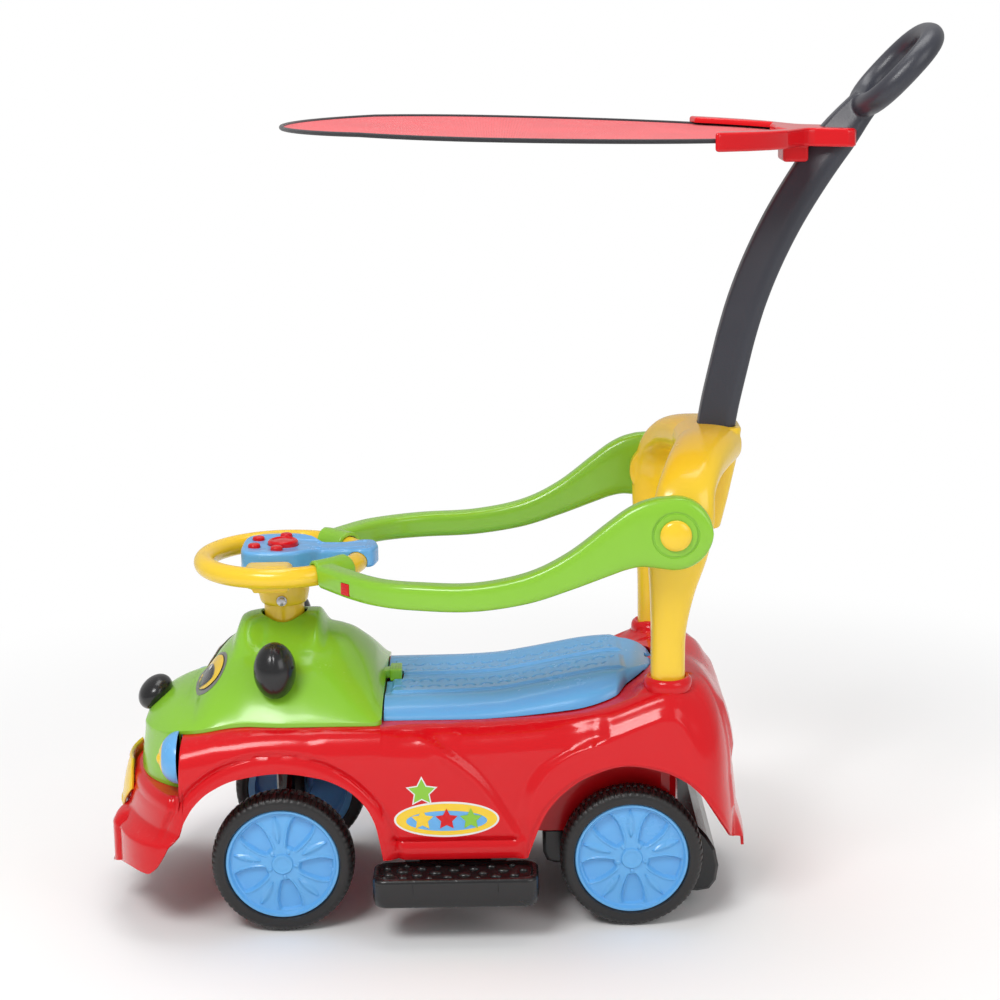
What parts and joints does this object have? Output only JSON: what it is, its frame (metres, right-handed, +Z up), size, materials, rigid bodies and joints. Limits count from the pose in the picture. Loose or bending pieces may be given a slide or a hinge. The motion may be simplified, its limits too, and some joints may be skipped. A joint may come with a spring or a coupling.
{
  "type": "ride-on push car",
  "caption": "Child's ride-on push car with an animal-face hood, steering wheel, fold-up guard arms, slide-out footrests, seat bin, rear push bar and sun canopy.",
  "frame": {"origin": "centre of the footprint, on the ground under the wheels", "axes": "+Z up, +X towards the rear push bar, -X towards the animal face, -Y towards the car's left side"},
  "size_m": [0.8514, 0.37, 0.8832],
  "materials": {
    "red_plastic": "smooth moulded",
    "green_plastic": "smooth moulded",
    "blue_plastic": "smooth moulded",
    "yellow_plastic": "smooth moulded",
    "black_plastic": "fine texture",
    "slate_plastic": "satin moulded",
    "tyre": "fine block tread",
    "steel": "turned",
    "binding": "woven binding over a wire",
    "mesh_fabric": "knitted mesh"
  },
  "bodies": {
    "car": {"body_shell": "red_plastic", "inner_tub": "red_plastic", "hood": "green_plastic", "nose": "black_plastic", "ear_left": "black_plastic", "ear_right": "black_plastic", "headlight_left": "blue_plastic", "headlight_right": "blue_plastic", "headlight_trim_left": "yellow_plastic", "headlight_trim_right": "yellow_plastic", "headlight_lens_left": "yellow_plastic", "headlight_lens_right": "yellow_plastic", "number_plate": "yellow_plastic", "footrest_guide": "black_plastic", "rear_carrier": "black_plastic", "rear_axle": "steel", "seat_hinge_pin": "steel", "backrest_frame": "yellow_plastic", "guard_pivot_left": "yellow_plastic", "guard_pivot_right": "yellow_plastic"},
    "steering": {"steering_wheel": "yellow_plastic", "steering_shaft": "steel", "steering_column": "yellow_plastic", "steering_bolt": "steel", "music_box": "blue_plastic", "front_yoke": "black_plastic", "front_axle": "steel"},
    "push_bar": {"push_bar": "slate_plastic", "canopy_fork": "red_plastic", "canopy_rim": "binding", "canopy_fabric": "mesh_fabric"},
    "seat_lid": {"seat_lid": "blue_plastic"},
    "seat_latch": {"seat_latch": "green_plastic"},
    "front_left_wheel": {"tyre_front_left": "tyre", "wheel_disc_front_left": "blue_plastic"},
    "front_right_wheel": {"tyre_front_right": "tyre", "wheel_disc_front_right": "blue_plastic"},
    "rear_left_wheel": {"tyre_rear_left": "tyre", "wheel_disc_rear_left": "blue_plastic"},
    "rear_right_wheel": {"tyre_rear_right": "tyre", "wheel_disc_rear_right": "blue_plastic"},
    "guard_arm_left": {"guard_arm_left": "green_plastic"},
    "release_button_left": {"release_button_left": "red_plastic"},
    "footrest_left": {"footrest_left": "black_plastic"},
    "guard_arm_right": {"guard_arm_right": "green_plastic"},
    "release_button_right": {"release_button_right": "red_plastic"},
    "footrest_right": {"footrest_right": "black_plastic"},
    "music_button_front_left": {"music_button_front_left": "red_plastic"},
    "music_button_front_right": {"music_button_front_right": "red_plastic"},
    "music_button_rear_left": {"music_button_rear_left": "red_plastic"},
    "music_button_rear_right": {"music_button_rear_right": "red_plastic"},
    "music_button_middle": {"music_button_middle": "red_plastic"}
  },
  "joints": [
    {"name": "steering_turn", "type": "hinge", "parent": "car", "child": "steering", "pos_m": [-0.2345, 0, 0.357], "axis": [0, 0, 1], "range_deg": [-14, 14]},
    {"name": "push_bar_lift", "type": "slide", "parent": "car", "child": "push_bar", "axis": [0.1676, 0, 0.9859], "range_m": [0, 0.06]},
    {"name": "seat_lid_hinge", "type": "hinge", "parent": "car", "child": "seat_lid", "pos_m": [0.142, 0, 0.2402], "axis": [0, 1, 0], "range_deg": [0, 45]},
    {"name": "seat_latch_slide", "type": "slide", "parent": "car", "child": "seat_latch", "axis": [-1, 0, 0], "range_m": [0, 0.004], "stiffness_N_per_m": 200},
    {"name": "front_left_spin", "type": "hinge", "parent": "steering", "child": "front_left_wheel", "pos_m": [-0.2345, -0.108, 0.072], "axis": [0, 1, 0], "continuous": true},
    {"name": "front_right_spin", "type": "hinge", "parent": "steering", "child": "front_right_wheel", "pos_m": [-0.2345, 0.108, 0.072], "axis": [0, 1, 0], "continuous": true},
    {"name": "rear_left_spin", "type": "hinge", "parent": "car", "child": "rear_left_wheel", "pos_m": [0.1155, -0.108, 0.072], "axis": [0, 1, 0], "continuous": true},
    {"name": "rear_right_spin", "type": "hinge", "parent": "car", "child": "rear_right_wheel", "pos_m": [0.1155, 0.108, 0.072], "axis": [0, 1, 0], "continuous": true},
    {"name": "guard_left_swing", "type": "hinge", "parent": "car", "child": "guard_arm_left", "pos_m": [0.1555, -0.157, 0.416], "axis": [0, 1, 0], "range_deg": [0, 90]},
    {"name": "release_left_press", "type": "slide", "parent": "guard_arm_left", "child": "release_button_left", "axis": [0.7299, 0.6836, 0], "range_m": [0, 0.0025], "stiffness_N_per_m": 300},
    {"name": "footrest_left_slide", "type": "slide", "parent": "car", "child": "footrest_left", "axis": [0, 1, 0], "range_m": [0, 0.014]},
    {"name": "guard_right_swing", "type": "hinge", "parent": "car", "child": "guard_arm_right", "pos_m": [0.1555, 0.157, 0.416], "axis": [0, 1, 0], "range_deg": [0, 90]},
    {"name": "release_right_press", "type": "slide", "parent": "guard_arm_right", "child": "release_button_right", "axis": [0.7299, -0.6836, 0], "range_m": [0, 0.0025], "stiffness_N_per_m": 300},
    {"name": "footrest_right_slide", "type": "slide", "parent": "car", "child": "footrest_right", "axis": [0, -1, 0], "range_m": [0, 0.014]},
    {"name": "music_front_left_press", "type": "slide", "parent": "steering", "child": "music_button_front_left", "axis": [0, 0, -1], "range_m": [0, 0.0015], "stiffness_N_per_m": 300},
    {"name": "music_front_right_press", "type": "slide", "parent": "steering", "child": "music_button_front_right", "axis": [0, 0, -1], "range_m": [0, 0.0015], "stiffness_N_per_m": 300},
    {"name": "music_rear_left_press", "type": "slide", "parent": "steering", "child": "music_button_rear_left", "axis": [0, 0, -1], "range_m": [0, 0.0015], "stiffness_N_per_m": 300},
    {"name": "music_rear_right_press", "type": "slide", "parent": "steering", "child": "music_button_rear_right", "axis": [0, 0, -1], "range_m": [0, 0.0015], "stiffness_N_per_m": 300},
    {"name": "music_middle_press", "type": "slide", "parent": "steering", "child": "music_button_middle", "axis": [0, 0, -1], "range_m": [0, 0.0015], "stiffness_N_per_m": 300}
  ]
}
